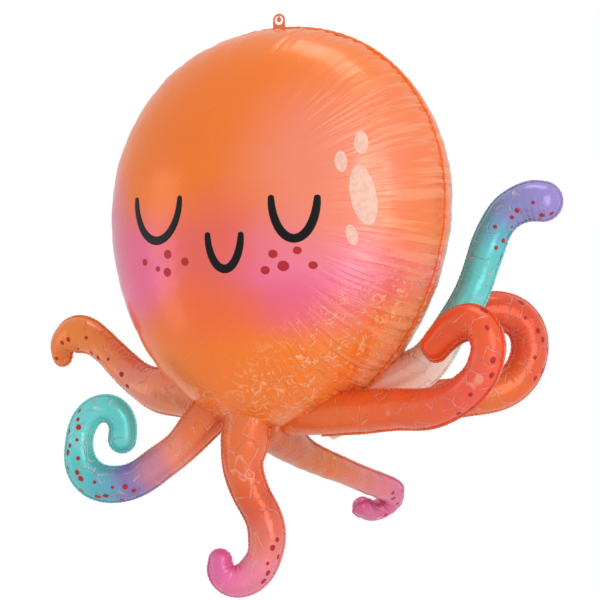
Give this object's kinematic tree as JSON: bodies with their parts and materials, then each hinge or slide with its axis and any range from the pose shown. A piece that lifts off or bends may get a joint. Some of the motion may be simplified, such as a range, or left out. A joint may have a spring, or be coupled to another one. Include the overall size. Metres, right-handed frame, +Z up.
{
  "type": "foil octopus balloon",
  "caption": "Hanging gas-filled foil octopus: egg-shaped head with a sealed rim and hang tab, and curled round arms that flex at their roots.",
  "frame": {"origin": "middle of the hang hole in the tab at the top", "axes": "+Z up, -Y the way the face looks, +X to the right seen from the front"},
  "size_m": [0.8187, 0.6124, 0.8701],
  "materials": {
    "head_film": "printed metallised film, glossy",
    "sealed_edge": "heat-sealed printed film",
    "tab_film": "heat-sealed printed film",
    "valve_film": "clear polyethylene film",
    "left_high_film": "printed metallised film, glossy",
    "left_low_film": "printed metallised film, glossy",
    "bottom_film": "printed metallised film, glossy",
    "low_right_film": "printed metallised film, glossy",
    "right_front_film": "printed metallised film, glossy",
    "right_back_film": "printed metallised film, glossy",
    "right_high_film": "printed metallised film, glossy",
    "back_left_film": "printed metallised film, glossy"
  },
  "bodies": {
    "head": {"head_front_panel": "head_film", "head_back_panel": "head_film", "head_rim_seam": "sealed_edge", "hang_tab": "tab_film", "valve_film_front": "valve_film", "valve_film_back": "valve_film", "left_high_neck": "head_film", "left_low_neck": "head_film", "bottom_neck": "head_film", "low_right_neck": "head_film", "right_front_neck": "head_film", "right_back_neck": "head_film", "right_high_neck": "head_film", "back_left_neck": "head_film"},
    "tongue": {"tab_tongue": "tab_film"},
    "tail": {"valve_tail": "valve_film"},
    "left_high_arm": {"left_high_front_panel": "left_high_film", "left_high_back_panel": "left_high_film", "left_high_edge_seam": "sealed_edge"},
    "left_low_arm": {"left_low_front_panel": "left_low_film", "left_low_back_panel": "left_low_film", "left_low_edge_seam": "sealed_edge"},
    "bottom_arm": {"bottom_front_panel": "bottom_film", "bottom_back_panel": "bottom_film", "bottom_edge_seam": "sealed_edge"},
    "low_right_arm": {"low_right_front_panel": "low_right_film", "low_right_back_panel": "low_right_film", "low_right_edge_seam": "sealed_edge"},
    "right_front_arm": {"right_front_front_panel": "right_front_film", "right_front_back_panel": "right_front_film", "right_front_edge_seam": "sealed_edge"},
    "right_back_arm": {"right_back_front_panel": "right_back_film", "right_back_back_panel": "right_back_film", "right_back_edge_seam": "sealed_edge"},
    "right_high_arm": {"right_high_front_panel": "right_high_film", "right_high_back_panel": "right_high_film", "right_high_edge_seam": "sealed_edge"},
    "back_left_arm": {"back_left_front_panel": "back_left_film", "back_left_back_panel": "back_left_film", "back_left_edge_seam": "sealed_edge"}
  },
  "joints": [
    {"name": "left_high_swing", "type": "hinge", "parent": "head", "child": "left_high_arm", "pos_m": [-0.17979, 0, -0.56], "axis": [0.0797, 0, 0.9968], "range_deg": [-8, 8], "stiffness_Nm_per_rad": 0.15},
    {"name": "left_low_swing", "type": "hinge", "parent": "head", "child": "left_low_arm", "pos_m": [-0.1133, -0.04724, -0.612], "axis": [-0.6748, -0.3147, 0.6675], "range_deg": [-8, 8], "stiffness_Nm_per_rad": 0.15},
    {"name": "bottom_swing", "type": "hinge", "parent": "head", "child": "bottom_arm", "pos_m": [-0.02467, -0.06517, -0.639], "axis": [-0.9008, -0.42, 0.1104], "range_deg": [-8, 8], "stiffness_Nm_per_rad": 0.15},
    {"name": "low_right_swing", "type": "hinge", "parent": "head", "child": "low_right_arm", "pos_m": [-0.012, 0.05516, -0.638], "axis": [0.7461, 0.268, 0.6095], "range_deg": [-8, 8], "stiffness_Nm_per_rad": 0.15},
    {"name": "right_front_swing", "type": "hinge", "parent": "head", "child": "right_front_arm", "pos_m": [0.11349, -0.02667, -0.583], "axis": [-0.0251, 0.0053, 0.9997], "range_deg": [-8, 8], "stiffness_Nm_per_rad": 0.15},
    {"name": "right_back_swing", "type": "hinge", "parent": "head", "child": "right_back_arm", "pos_m": [0.0873, 0.08333, -0.578], "axis": [-0.0255, -0.0214, 0.9994], "range_deg": [-8, 8], "stiffness_Nm_per_rad": 0.15},
    {"name": "right_high_swing", "type": "hinge", "parent": "head", "child": "right_high_arm", "pos_m": [0.15519, 0.04168, -0.547], "axis": [-0.4339, -0.1082, 0.8944], "range_deg": [-8, 8], "stiffness_Nm_per_rad": 0.15},
    {"name": "back_left_swing", "type": "hinge", "parent": "head", "child": "back_left_arm", "pos_m": [-0.09709, 0.08509, -0.599], "axis": [-0.06, 0.06, 0.9964], "range_deg": [-8, 8], "stiffness_Nm_per_rad": 0.15},
    {"name": "tail_flap", "type": "hinge", "parent": "head", "child": "tail", "pos_m": [-0.055, 0, -0.61151], "axis": [1, 0, 0], "range_deg": [-20, 20], "stiffness_Nm_per_rad": 0.0001},
    {"name": "tongue_flap", "type": "hinge", "parent": "head", "child": "tongue", "pos_m": [0, 0, 0.0065], "axis": [1, 0, 0], "range_deg": [-70, 70], "stiffness_Nm_per_rad": 0.00001}
  ]
}
